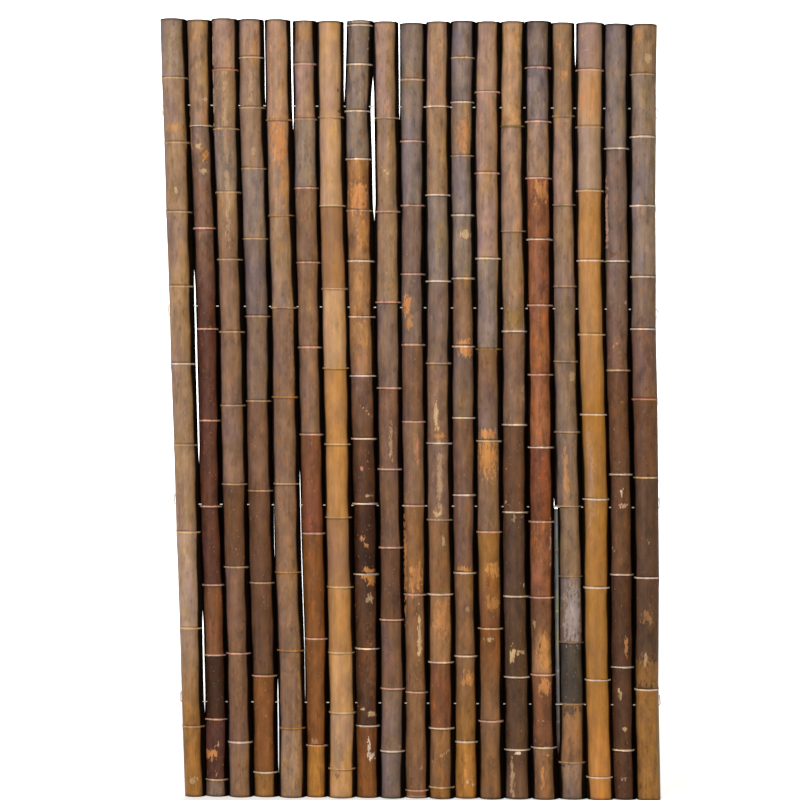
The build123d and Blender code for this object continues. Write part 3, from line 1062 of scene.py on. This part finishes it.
@dataclass(frozen=True)
class Branch:
    """The side branch that a pole still has, which runs up behind the joint on the pole's left."""

    pole: Culm
    left: Culm
    foot_radius: float = 6.75 * MM
    head_radius: float = 5.75 * MM
    setback: float = 5.5 * MM
    rise: float = 34 * MM
    wire_gap: float = 4 * MM
    knots: tuple[float, ...] = (0.16, 0.36, 0.6, 0.84)
    bark: Tone = Tone.SLATE
    root_bark: Tone = Tone.MAUVE

    def line(self) -> tuple[np.ndarray, np.ndarray, np.ndarray]:
        """The middle line, from inside the pole's wall to just under a wire.

        Returns:
            Heights of its points, and their x and y.
        """
        node = self.pole.scars[0][0]
        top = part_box("wire_lower")[0].z - self.wire_gap
        bends = [scar for scar, _ in self.pole.scars if node + self.rise < scar < top]
        heights = np.array([node - 3 * MM, node + self.rise, *bends, top])
        px, py = self.pole.line.middle(heights)
        lx, _ = self.left.line.middle(heights)
        xs = (lx + self.left.radius(heights) + px - self.pole.radius(heights)) / 2
        ys = py + self.setback
        xs[0], ys[0] = px[0] - self.pole.radius(heights)[0] + POLE_WALL / 2, py[0]
        return heights, xs, ys

    def build(self, materials: dict[str, bpy.types.Material]) -> bpy.types.Object:
        """Makes the branch's piece, which stands for its part of the pole's CAD node.

        Args:
            materials: The finishes by name.

        Returns:
            The finished piece.
        """
        heights, xs, ys = self.line()
        foot, head = heights[0], heights[-1]
        rows = np.linspace(foot, head, BRANCH_ROWS)
        share = (rows - foot) / (head - foot)
        radii = self.foot_radius + (self.head_radius - self.foot_radius) * share
        for knot in self.knots:
            radii += 0.7 * MM * np.exp(-(((share - knot) * (head - foot) / (2.5 * MM)) ** 2))
        outline = [(0.0, foot), *zip(radii, rows), (0.0, head)]
        bm = spin_outline(outline, BRANCH_COLUMNS)
        for vert in bm.verts:
            vert.co.x += float(np.interp(vert.co.z, heights, xs))
            vert.co.y += float(np.interp(vert.co.z, heights, ys))
        for face in bm.faces:
            face.smooth = True
        mesh = bpy.data.meshes.new(self.pole.name + "_branch")
        bm.to_mesh(mesh)
        bm.free()
        z = np.array([vert.co.z for vert in mesh.vertices])
        low = ease(z, foot + 0.45 * (head - foot), foot)[:, None]
        tone = np.array(linear(self.bark.value)) * (1 - low) + np.array(linear(self.root_bark.value)) * low
        for knot in self.knots:
            tone[np.abs((z - foot) / (head - foot) - knot) < 0.004, :3] *= 1.6
        for name in ("skin", "mark"):
            tone[:, 3] = float(name == "skin")
            layer = mesh.attributes.new(name, "FLOAT_COLOR", "POINT")
            layer.data.foreach_set("color", tone.astype(np.float32).ravel())
        worn = np.full(len(z), 0.4, np.float32)
        mesh.attributes.new("worn", "FLOAT", "POINT").data.foreach_set("value", worn)
        piece = bpy.data.objects.new(self.pole.name + "_branch", mesh)
        bpy.context.scene.collection.objects.link(piece)
        mesh.materials.append(materials[self.pole.slot])
        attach(piece, "root")
        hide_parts(self.pole.name)
        return piece


@dataclass(frozen=True)
class Studio:
    """Pale cove, soft lights and the camera, set as the photograph has them.

    The photograph's frame is 800 pixels high at 2.36 mm a pixel and is turned by under half a degree.
    """

    distance: float = 6.5
    frame_height: float = 1.888
    aim: tuple[float, float] = (-0.0248, 0.937)
    roll: float = math.radians(-0.45)
    paper: str = "#fafafa"
    reach: float = 14.0
    wall: float = 10.0
    wall_height: float = 9.0
    bend: float = 1.5

    def camera(self) -> None:
        """Makes the camera, level and square to the panel."""
        data = bpy.data.cameras.new("camera")
        data.sensor_width = 36.0
        data.lens = 18.0 / (self.frame_height / 2 / self.distance)
        camera = bpy.data.objects.new("camera", data)
        camera.location = (self.aim[0], -self.distance, self.aim[1])
        camera.rotation_euler = (math.radians(90), self.roll, 0)
        bpy.context.scene.collection.objects.link(camera)
        bpy.context.scene.camera = camera

    def lamp(self, name: str, place: tuple, target: tuple, size: float, power: float, colour: str) -> None:
        """Makes one square area light.

        Args:
            name: Light's name.
            place: Where it hangs.
            target: What it points at.
            size: Its side.
            power: Its power in watts.
            colour: Its colour in sRGB.
        """
        data = bpy.data.lights.new(name, "AREA")
        data.size = size
        data.energy = power
        data.color = linear(colour)[:3]
        lamp = bpy.data.objects.new(name, data)
        lamp.location = place
        lamp.rotation_euler = (Vector(target) - Vector(place)).to_track_quat("-Z", "Y").to_euler()
        bpy.context.scene.collection.objects.link(lamp)

    def cove(self) -> None:
        """Makes the floor, which curves up into a wall far enough behind for a camera to stand there."""
        bm = bmesh.new()
        reach, wall, bend = self.reach, self.wall, self.bend
        points = [(-reach, -reach, 0), (-reach, wall - bend, 0)]
        steps = 12
        for step in range(1, steps + 1):
            turn = math.pi / 2 * step / steps
            points.append((-reach, wall - bend + bend * math.sin(turn), bend - bend * math.cos(turn)))
        points.append((-reach, wall, self.wall_height))
        verts = [bm.verts.new(point) for point in points]
        edges = [bm.edges.new(pair) for pair in zip(verts, verts[1:])]
        swept = bmesh.ops.extrude_edge_only(bm, edges=edges)
        moved = [item for item in swept["geom"] if isinstance(item, bmesh.types.BMVert)]
        bmesh.ops.translate(bm, verts=moved, vec=(2 * reach, 0, 0))
        bmesh.ops.recalc_face_normals(bm, faces=bm.faces)
        for face in bm.faces:
            face.smooth = True
        mesh = bpy.data.meshes.new("paper_cove")
        bm.to_mesh(mesh)
        bm.free()
        cove = bpy.data.objects.new("paper_cove", mesh)
        bpy.context.scene.collection.objects.link(cove)
        # Photo paper: matt and near white, with a little glow so that it stays even behind the panel
        material, tree = new_material("paper")
        shader = add_node(
            tree,
            "ShaderNodeBsdfPrincipled",
            {
                "Base Color": linear(self.paper),
                "Roughness": 0.9,
                "Emission Color": linear(self.paper),
                "Emission Strength": 0.5,
            },
        )
        add_node(tree, "ShaderNodeOutputMaterial", {"Surface": shader.outputs[0]})
        mesh.materials.append(material)

    def build(self) -> None:
        """Makes the whole studio."""
        self.camera()
        self.cove()
        self.lamp("key", (-2.2, -5.2, 3.0), (0, 0, 0.95), 1.1, 190.0, "#fff6ea")
        self.lamp("paper_light", (0, 7.6, 5.2), (0, 9.6, 1.0), 4.0, 420.0, "#ffffff")
        self.lamp("back_fill", (2.4, 5.6, 3.0), (0, 0, 0.95), 2.0, 130.0, "#fff8ee")
        world = bpy.data.worlds.new("studio")
        world.use_nodes = True
        world.node_tree.nodes["Background"].inputs[0].default_value = linear("#f4f6fa")
        world.node_tree.nodes["Background"].inputs[1].default_value = 0.17
        bpy.context.scene.world = world
        bpy.context.scene.view_settings.view_transform = "Standard"


SKINS = (
    BambooSkin("bamboo_weathered", roughness=0.54, warmth=0.4, patch=0.2, cloud=0.22),
    BambooSkin("bamboo_mahogany", roughness=0.46, warmth=0.8, soot=0.5, patch=0.55, cloud=0.5),
    BambooSkin("bamboo_brown", roughness=0.5, patch=0.3, cloud=0.3),
    BambooSkin("bamboo_tan", roughness=0.48, warmth=0.7, patch=0.4),
    BambooSkin(
        "bamboo_golden",
        roughness=0.44,
        mottle=0.13,
        streak=0.1,
        warmth=0.25,
        soot=0.2,
        fleck=0.3,
        cloud=0.1,
        patch=0.1,
    ),
    BambooSkin("bamboo_olive", roughness=0.48, patch=0.25),
    BambooSkin("bamboo_russet", roughness=0.46, warmth=0.8, mottle=0.3, patch=0.4, cloud=0.4),
    BambooSkin("bamboo_dark", roughness=0.48, warmth=0.6, soot=0.5, patch=0.35, cloud=0.35),
)

T = Tone
STREAK, BAND, SLASH, RISE = MarkKind.STREAK, MarkKind.BAND, MarkKind.SLASH, MarkKind.RISE

CULMS = (
    Culm(
        1,
        "bamboo_weathered",
        (
            T.GOLD_BROWN, (T.GOLD_BROWN, T.FAWN), T.SILVER_TAN, T.FAWN, T.FAWN, T.FAWN, T.FAWN, T.FAWN,
            T.FAWN, T.GREY_FAWN,
        ),
        ring=T.BUFF,
        rings={1: T.STRAW, 2: T.STRAW, 4: T.CREAM},
        marks=(
            Mark(T.GOLD_BROWN, 1300, 0.72, 1000, 9, STREAK, 0.7),
            Mark(T.HONEY, 1573, -0.05, 18, 34, strength=0.7),
            Mark(T.STRAW, 1426, -0.1, 10, 12, strength=0.7),
            Mark(T.STRAW, 40, 0.0, 12, 14, strength=0.6),
            Mark(T.SILVER_TAN, 1770, 0.1, 60, 10, STREAK, 0.7),
        ),
        shade=(80.0, 46.0),
    ),
    Culm(
        2,
        "bamboo_mahogany",
        (
            T.DRAB, T.MAHOGANY, T.BLACKWOOD, T.CHESTNUT, T.MAHOGANY, T.MAHOGANY, T.MAHOGANY,
            (T.MAHOGANY, T.TOBACCO), (T.TOBACCO, T.DRAB), T.FAWN,
        ),
        ring=T.SHELL_PINK,
        rings={8: T.CREAM, 0: T.STRAW},
        marks=(
            Mark(T.AMBER, 1508, 0.25, 26, 16, strength=0.8),
            Mark(T.STRAW, 1532, -0.3, 12, 12, strength=0.6),
            Mark(T.STRAW, 1472, 0.15, 12, 16, strength=0.7),
            Mark(T.TANGERINE, 100, -0.55, 22, 24),
            Mark(T.TANGERINE, 1755, 0.8, 110, 8, STREAK, 0.7),
            Mark(T.TANGERINE, 1560, -0.85, 80, 6, STREAK, 0.8),
            Mark(T.SHELL_PINK, 1640, 0.45, 10, 16, strength=0.7),
            Mark(T.SHELL_PINK, 55, 0.05, 18, 7, RISE, 0.8),
            Mark(T.SHELL_PINK, 125, 0.1, 10, 7, strength=0.7),
        ),
        slits=((215, 420), (800, 1225)),
    ),
    Culm(
        3,
        "bamboo_brown",
        (
            T.CINNAMON, T.TOBACCO, T.TOBACCO, T.UMBER, T.CINNAMON, T.CINNAMON, T.CINNAMON,
            (T.CINNAMON, T.FAWN), T.GREY_FAWN, T.FAWN, T.ROSE_TAN,
        ),
        ring=T.BUFF,
        rings={9: T.SALMON, 0: T.CREAM, 1: T.SHELL_PINK},
        marks=(
            Mark(T.BUFF, 1590, 0.0, 190, 9, STREAK, 0.7),
            Mark(T.BUFF, 1400, -0.05, 150, 10, STREAK, 0.6),
            Mark(T.MAUVE, 1600, -0.55, 160, 14, STREAK, 0.7),
            Mark(T.CREAM, 1690, -0.92, 190, 4, STREAK, 0.8),
            Mark(T.SALMON, 1550, 0.1, 40, 12, strength=0.5),
        ),
    ),
    Culm(
        4,
        "bamboo_weathered",
        (
            T.GOLD_BROWN, T.GINGER, T.UMBER, T.UMBER, T.TOBACCO, T.DRAB, T.MAUVE, T.GREY_FAWN, T.FAWN,
            T.FAWN, T.ROSE_TAN,
        ),
        ring=T.BUFF,
        rings={0: T.CREAM, 9: T.STRAW, 1: T.SHELL_PINK},
        marks=(
            Mark(T.BUFF, 1668, -0.1, 60, 9, STREAK, 0.6),
            Mark(T.BUFF, 1520, 0.0, 16, 10, strength=0.7),
            Mark(T.OLIVE, 1640, 0.72, 120, 9, STREAK, 0.6),
            Mark(T.AMBER, 1760, 0.3, 70, 22, strength=0.4),
        ),
    ),
    Culm(
        5,
        "bamboo_tan",
        (
            T.FAWN, T.CINNAMON, T.CINNAMON, T.CINNAMON, T.CINNAMON, T.CINNAMON, T.FAWN,
            (T.FAWN, T.ROSE_TAN), T.ROSE_TAN,
        ),
        ring=T.HONEY,
        rings={3: T.BUFF, 5: T.BUFF},
        marks=(
            Mark(T.TANGERINE, 1545, 0.15, 90, 42, strength=0.85),
            Mark(T.AMBER, 1450, 0.45, 110, 22, strength=0.6),
            Mark(T.HONEY, 1200, 0.7, 420, 10, STREAK, 0.6),
            Mark(T.HONEY, 90, 0.65, 160, 14, STREAK, 0.7),
            Mark(T.HONEY, 300, 0.7, 200, 12, STREAK, 0.6),
        ),
        slits=((60, 270), (560, 950), (1640, 1900)),
    ),
    Culm(
        6,
        "bamboo_brown",
        (
            T.GOLD, T.GINGER, T.GINGER, (T.RED_BROWN, T.CHESTNUT), T.CINNAMON, T.CINNAMON, T.CINNAMON,
            T.GREY_FAWN, T.ROSE_TAN, T.FAWN,
        ),
        ring=T.SHELL_PINK,
        faint=(7,),
        marks=(
            Mark(T.HONEY, 1800, 0.0, 40, 50, BAND, 0.5),
            Mark(T.BUFF, 130, -0.1, 16, 16, strength=0.5),
            Mark(T.STRAW, 62, 0.1, 4, 40, strength=0.6),
        ),
        slits=((230, 760), (1590, 1900)),
        snug=0.6,
    ),
    Culm(
        7,
        "bamboo_golden",
        (
            T.SAND, (T.SAND, T.BLOND), T.SAND, T.HONEY, T.TAWNY, T.HONEY, T.HONEY, T.BLOND, T.TAWNY,
            T.BLOND, T.BLOND,
        ),
        ring=T.STRAW,
        faint=(0, 4, 6, 7, 9),
        marks=(
            Mark(T.UMBER, 1665, 0.6, 10, 6),
            Mark(T.UMBER, 1613, 0.65, 10, 6),
            Mark(T.GREY_FAWN, 100, -0.3, 70, 24, strength=0.6),
            Mark(T.UMBER, 55, -0.35, 14, 12, strength=0.6),
        ),
        shade=(64.0, 50.0),
    ),
    Culm(
        8,
        "bamboo_mahogany",
        (
            T.GINGER, T.COCOA, T.COCOA, T.BLACKWOOD, T.COCOA, (T.UMBER, T.TOBACCO), T.TAWNY, T.TAWNY,
            T.TAWNY, T.TAWNY, T.ASHEN, T.ASHEN, T.ASHEN, T.ASHEN,
        ),
        ring=T.CREAM,
        faint=(8,),
        marks=(
            Mark(T.TANGERINE, 1412, -0.05, 60, 44),
            Mark(T.AMBER, 1320, 0.2, 40, 26, strength=0.6),
            Mark(T.HONEY, 1210, -0.3, 60, 18, strength=0.6),
            Mark(T.HONEY, 1090, 0.2, 50, 22, strength=0.6),
            Mark(T.TANGERINE, 612, -0.3, 10, 12, strength=0.7),
            Mark(T.TANGERINE, 596, 0.1, 10, 10, strength=0.7),
            Mark(T.STRAW, 205, -0.2, 16, 44, SLASH, 0.9),
            Mark(T.STRAW, 198, 0.35, 14, 24, RISE, 0.8),
            Mark(T.CREAM, 118, 0.1, 40, 8, strength=0.95),
            Mark(T.CREAM, 98, 0.35, 14, 12, strength=0.9),
            Mark(T.CREAM, 1787, 0.72, 8, 7),
            Mark(T.CREAM, 1765, 0.72, 8, 6),
            Mark(T.STRAW, 908, 0.3, 14, 18, SLASH, 0.8),
            Mark(T.STRAW, 710, 0.2, 6, 18, strength=0.7),
            Mark(T.STRAW, 645, 0.5, 4, 16, strength=0.7),
            Mark(T.SALMON, 775, -0.2, 8, 8, strength=0.7),
            Mark(T.AMBER, 525, 0.3, 34, 30, strength=0.8),
            Mark(T.BUFF, 470, 0.25, 18, 18, strength=0.8),
            Mark(T.CHESTNUT, 320, 0.3, 110, 20, strength=0.6),
        ),
        slits=((1650, 1900),),
    ),
    Culm(
        9,
        "bamboo_olive",
        (T.MAUVE, T.DRAB, T.TOBACCO, T.UMBER, T.TOBACCO, T.TOBACCO, T.DRAB, T.FAWN, T.FAWN, T.ROSE_TAN),
        ring=T.SHELL_PINK,
        rings={0: T.CREAM, 8: T.BUFF},
        marks=(
            Mark(T.OCHRE, 1660, 0.5, 300, 22, STREAK, 0.55),
            Mark(T.SALMON, 1660, -0.6, 5, 7),
            Mark(T.STRAW, 1470, 0.0, 20, 26, SLASH, 0.8),
            Mark(T.STRAW, 1215, -0.2, 50, 6, RISE, 0.6),
            Mark(T.BUFF, 833, 0.1, 80, 7, STREAK, 0.6),
            Mark(T.UMBER, 685, -0.6, 140, 12, STREAK, 0.6),
            Mark(T.BUFF, 122, 0.6, 8, 8, strength=0.6),
        ),
        slits=((1380, 1680),),
        snug=0.35,
    ),
    Culm(
        10,
        "bamboo_weathered",
        (
            T.BRONZE, T.BRONZE, T.BRONZE, T.BRONZE, T.CINNAMON, T.TOBACCO, T.DRAB, T.DRAB, T.ASHEN,
            T.ASHEN, T.ASHEN,
        ),
        ring=T.SHELL_PINK,
        marks=(
            Mark(T.TANGERINE, 1162, -0.55, 40, 18),
            Mark(T.AMBER, 1120, -0.3, 30, 14, strength=0.6),
            Mark(T.STRAW, 380, 0.3, 110, 8, STREAK),
            Mark(T.TANGERINE, 565, -0.85, 200, 9, STREAK),
            Mark(T.SALMON, 822, 0.25, 50, 8, STREAK, 0.6),
            Mark(T.BUFF, 72, 0.3, 10, 9, strength=0.5),
            Mark(T.UMBER, 300, 0.2, 40, 20, strength=0.5),
            Mark(T.TANGERINE, 515, 0.1, 60, 26, strength=0.7),
        ),
        slits=((1600, 1900),),
    ),
    Culm(
        11,
        "bamboo_tan",
        (
            T.GOLD_BROWN, T.BRONZE, T.CHESTNUT, T.TAWNY, T.BRONZE, T.CINNAMON, T.CINNAMON, T.DRAB,
            T.ASHEN, T.FAWN, T.ROSE_TAN,
        ),
        ring=T.CREAM,
        rings={6: T.BUFF, 0: T.STRAW},
        faint=(4,),
        marks=(
            Mark(T.STRAW, 905, -0.25, 60, 9, STREAK, 0.75),
            Mark(T.BUFF, 760, 0.0, 130, 10, STREAK, 0.55),
            Mark(T.AMBER, 853, 0.1, 10, 28),
            Mark(T.TANGERINE, 430, 0.3, 80, 40, strength=0.5),
            Mark(T.RED_BROWN, 255, 0.3, 60, 30, strength=0.5),
            Mark(T.STRAW, 670, -0.2, 12, 16, strength=0.7),
            Mark(T.BUFF, 604, 0.3, 24, 6, STREAK, 0.7),
            Mark(T.BUFF, 105, 0.1, 24, 38, RISE, 0.9),
        ),
    ),
    Culm(
        12,
        "bamboo_brown",
        (
            T.GOLD, (T.GOLD_BROWN, T.BRONZE), T.BRONZE, T.TOBACCO, T.TOBACCO, T.DRAB, T.CINNAMON,
            T.GREY_FAWN, T.ASHEN, T.FAWN, T.ASHEN, T.ASHEN,
        ),
        ring=T.CREAM,
        rings={8: T.BUFF, 10: T.STRAW},
        marks=(
            Mark(T.TANGERINE, 1560, 0.1, 60, 34, strength=0.6),
            Mark(T.STRAW, 1328, 0.3, 18, 20, strength=0.8),
            Mark(T.TANGERINE, 1060, 0.2, 30, 34),
            Mark(T.AMBER, 538, -0.2, 14, 28),
            Mark(T.BUFF, 445, 0.2, 10, 10, strength=0.6),
            Mark(T.AMBER, 285, 0.2, 26, 28),
            Mark(T.AMBER, 68, 0.25, 60, 26, strength=0.7),
            Mark(T.STRAW, 38, 0.15, 14, 34, SLASH, 0.9),
        ),
    ),
    Culm(
        13,
        "bamboo_weathered",
        (
            T.BRONZE, (T.BRONZE, T.GINGER), (T.CHESTNUT, T.GOLD_BROWN), T.CINNAMON, (T.DRAB, T.BRONZE),
            T.GREY_FAWN, T.ROSE_TAN, T.ROSE_TAN, T.ROSE_TAN,
        ),
        ring=T.SHELL_PINK,
        rings={5: T.CREAM, 4: T.OCHRE, 3: T.STRAW, 1: T.STRAW},
        marks=(
            Mark(T.SALMON, 1640, 0.2, 7, 9),
            Mark(T.HONEY, 1450, 0.72, 600, 9, STREAK, 0.6),
            Mark(T.TANGERINE, 857, -0.2, 22, 40),
            Mark(T.AMBER, 805, -0.15, 80, 44),
            Mark(T.AMBER, 540, 0.25, 28, 30),
            Mark(T.AMBER, 460, 0.2, 30, 26, strength=0.6),
            Mark(T.RED_BROWN, 400, 0.0, 24, 20, strength=0.6),
            Mark(T.STRAW, 376, -0.1, 8, 20, strength=0.8),
        ),
    ),
    Culm(
        14,
        "bamboo_olive",
        ((T.TOBACCO, T.PEAT), T.PEAT, T.PEAT, T.PEAT, T.UMBER, T.CINNAMON, T.FAWN, T.ROSE_TAN, T.BLOND),
        ring=T.CREAM,
        rings={7: T.OLIVE, 6: T.BUFF},
        marks=(
            Mark(T.OLIVE, 1700, 0.7, 240, 12, STREAK, 0.6),
            Mark(T.SALMON, 1200, 0.6, 24, 10, strength=0.7),
            Mark(T.UMBER, 1145, -0.5, 3, 12),
            Mark(T.OCHRE, 1130, 0.0, 42, 46, strength=0.8),
            Mark(T.BUFF, 958, 0.65, 34, 8, strength=0.6),
            Mark(T.BUFF, 662, -0.15, 14, 7, strength=0.7),
            Mark(T.BUFF, 664, 0.5, 14, 7, strength=0.7),
            Mark(T.SALMON, 778, -0.75, 8, 12, SLASH, 0.7),
            Mark(T.STRAW, 340, -0.35, 34, 10, strength=0.9),
            Mark(T.STRAW, 345, 0.1, 8, 26, strength=0.8),
            Mark(T.CREAM, 504, 0.65, 6, 6),
            Mark(T.SHELL_PINK, 697, -0.7, 12, 16, SLASH, 0.8),
            Mark(T.BUFF, 55, -0.45, 80, 9, STREAK, 0.7),
            Mark(T.CREAM, 112, 0.0, 8, 12, strength=0.9),
        ),
    ),
    Culm(
        15,
        "bamboo_russet",
        (
            T.BRONZE, T.CHESTNUT, (T.TAWNY, T.CHESTNUT), T.RUSSET, T.RED_BROWN, T.RUSSET, T.RUSSET,
            T.RUSSET, T.RUSSET, T.FAWN, T.ASHEN, (T.ASHEN, T.MAUVE),
        ),
        ring=T.SHELL_PINK,
        rings={7: T.CREAM, 4: T.CREAM, 0: T.CREAM},
        marks=(
            Mark(T.TANGERINE, 1430, 0.2, 46, 33, strength=0.8),
            Mark(T.AMBER, 345, 0.2, 70, 30, strength=0.7),
            Mark(T.SHELL_PINK, 605, 0.72, 80, 5, STREAK, 0.9),
            Mark(T.STRAW, 412, -0.7, 16, 8, strength=0.8),
            Mark(T.TANGERINE, 265, 0.1, 34, 22, strength=0.7),
            Mark(T.BUFF, 102, 0.45, 12, 16, SLASH, 0.9),
            Mark(T.MAHOGANY, 700, -0.55, 160, 12, STREAK, 0.6),
            Mark(T.TANGERINE, 50, -0.2, 40, 8, STREAK, 0.7),
            Mark(T.BUFF, 184, -0.1, 4, 30, strength=0.6),
        ),
    ),
    Culm(
        16,
        "bamboo_weathered",
        (
            (T.DUN, T.ROSE_TAN), T.TAWNY, T.CHARCOAL, (T.DRAB, T.ASHEN), T.DUN, T.DUN, T.DUN, T.DUN,
            T.FAWN, T.ROSE_TAN, T.FAWN,
        ),
        ring=T.BUFF,
        rings={9: T.SILVER_TAN},
        faint=(1, 2, 3),
        marks=(
            Mark(T.TANGERINE, 1775, -0.4, 15, 9),
            Mark(T.TANGERINE, 1705, 0.0, 18, 16, strength=0.8),
            Mark(T.STRAW, 1600, 0.3, 8, 8, strength=0.6),
            Mark(T.STRAW, 995, 0.5, 18, 12, strength=0.6),
            Mark(T.TANGERINE, 760, -0.2, 110, 10, STREAK, 0.6),
            Mark(T.MAUVE, 780, -0.7, 150, 16, STREAK, 0.75),
            Mark(T.ASH, 435, 0.05, 110, 40, strength=0.9),
            Mark(T.CHARCOAL, 222, -0.35, 44, 34, strength=0.8),
            Mark(T.CHARCOAL, 214, 0.6, 20, 16, strength=0.8),
            Mark(T.SHELL_PINK, 395, 0.2, 10, 16, RISE, 0.8),
            Mark(T.CHARCOAL, 80, -0.75, 10, 9),
            Mark(T.UMBER, 110, -0.2, 60, 12, strength=0.5),
        ),
        grooved=True,
        slits=((112, 700),),
        snug=0.3,
    ),
    Culm(
        17,
        "bamboo_golden",
        (
            T.AMBER, (T.AMBER, T.GOLD), T.GOLD, T.GOLD, T.GOLD, (T.GOLD, T.HONEY), T.HONEY, T.HONEY,
            T.SILVER_TAN, T.BLOND, T.ROSE_TAN,
        ),
        ring=T.CREAM,
        rings={5: T.STRAW, 7: T.STRAW, 8: T.BUFF, 9: T.SHELL_PINK},
        marks=(
            Mark(T.TANGERINE, 1655, 0.0, 70, 46, strength=0.5),
            Mark(T.SALMON, 1645, -0.45, 14, 12),
            Mark(T.STRAW, 1800, -0.5, 8, 8, strength=0.6),
            Mark(T.BUFF, 1760, -0.3, 7, 26, SLASH, 0.8),
            Mark(T.ROSE_TAN, 750, -0.45, 190, 14, STREAK, 0.6),
        ),
        shade=(63.0, 50.0),
        sunned=1.3,
        slits=((1740, 1900),),
    ),
    Culm(
        18,
        "bamboo_dark",
        (T.COCOA, T.COCOA, T.COCOA, T.UMBER, T.UMBER, (T.TOBACCO, T.DRAB), T.DRAB, T.ASHEN, T.ASHEN),
        ring=T.CREAM,
        rings={4: T.STRAW},
        marks=(
            Mark(T.SHELL_PINK, 1375, -0.82, 130, 7, STREAK, 0.8),
            Mark(T.UMBER, 1285, -0.4, 14, 17),
            Mark(T.SHELL_PINK, 1170, 0.6, 7, 7),
            Mark(T.SALMON, 1070, -0.3, 14, 14, RISE, 0.8),
            Mark(T.CREAM, 725, 0.0, 18, 5),
            Mark(T.SHELL_PINK, 692, 0.15, 8, 16),
            Mark(T.BUFF, 590, -0.75, 8, 10, SLASH, 0.8),
            Mark(T.TANGERINE, 360, 0.3, 34, 8, strength=0.8),
            Mark(T.STRAW, 250, -0.3, 20, 8, strength=0.7),
            Mark(T.STRAW, 167, 0.0, 8, 12, strength=0.7),
            Mark(T.SHELL_PINK, 50, 0.0, 8, 20, strength=0.7),
        ),
    ),
    Culm(
        19,
        "bamboo_dark",
        (
            T.GOLD_BROWN, T.PEAT, T.PEAT, T.UMBER, T.TOBACCO, T.DRAB, T.GREY_FAWN, T.ASHEN,
            T.GREY_FAWN, T.FAWN,
        ),
        ring=T.CREAM,
        rings={3: T.SALMON, 2: T.STRAW, 8: T.BUFF},
        marks=(
            Mark(T.HONEY, 1790, -0.5, 47, 20, strength=0.7),
            Mark(T.STRAW, 1745, 0.2, 20, 20, strength=0.6),
            Mark(T.UMBER, 1125, -0.3, 20, 18, strength=0.6),
            Mark(T.BUFF, 608, 0.1, 12, 6, SLASH, 0.8),
            Mark(T.HONEY, 430, -0.1, 26, 22, strength=0.5),
            Mark(T.STRAW, 325, -0.2, 34, 5, STREAK, 0.7),
            Mark(T.GOLD, 300, 0.0, 60, 50, BAND, 0.5),
            Mark(T.OLIVE, 130, 0.75, 240, 9, STREAK, 0.7),
        ),
        shade=(64.0, 80.0),
    ),
)


def dress_wires(materials: dict[str, bpy.types.Material]) -> None:
    """Gives the CAD wires their galvanised finish.

    Args:
        materials: The finishes by name.
    """
    for name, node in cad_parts.items():
        if name.startswith("wire_"):
            node.data.materials.clear()
            node.data.materials.append(materials["galvanised_wire"])
            LOG.info("%s dressed", name)


def main() -> None:
    """Builds the studio, the finishes and the poles, and dresses the wires."""
    logging.basicConfig(level=logging.INFO, format="%(message)s")
    Studio().build()
    materials = {finish.name: finish.build() for finish in (*SKINS, SawnBamboo(), GalvanisedWire())}
    for culm in CULMS:
        culm.measure()
    for index, culm in enumerate(CULMS):
        neighbours = [CULMS[k] for k in (index - 1, index + 1) if 0 <= k < len(CULMS)]
        piece = culm.build(materials, neighbours)
        LOG.info("%s has %d faces and %d nodes", piece.name, len(piece.data.polygons), len(culm.scars))
    grooved = next(culm for culm in CULMS if culm.grooved)
    branch = Branch(grooved, CULMS[grooved.number - 2]).build(materials)
    LOG.info("%s has %d faces", branch.name, len(branch.data.polygons))
    dress_wires(materials)


if __name__ == "__main__":
    main()
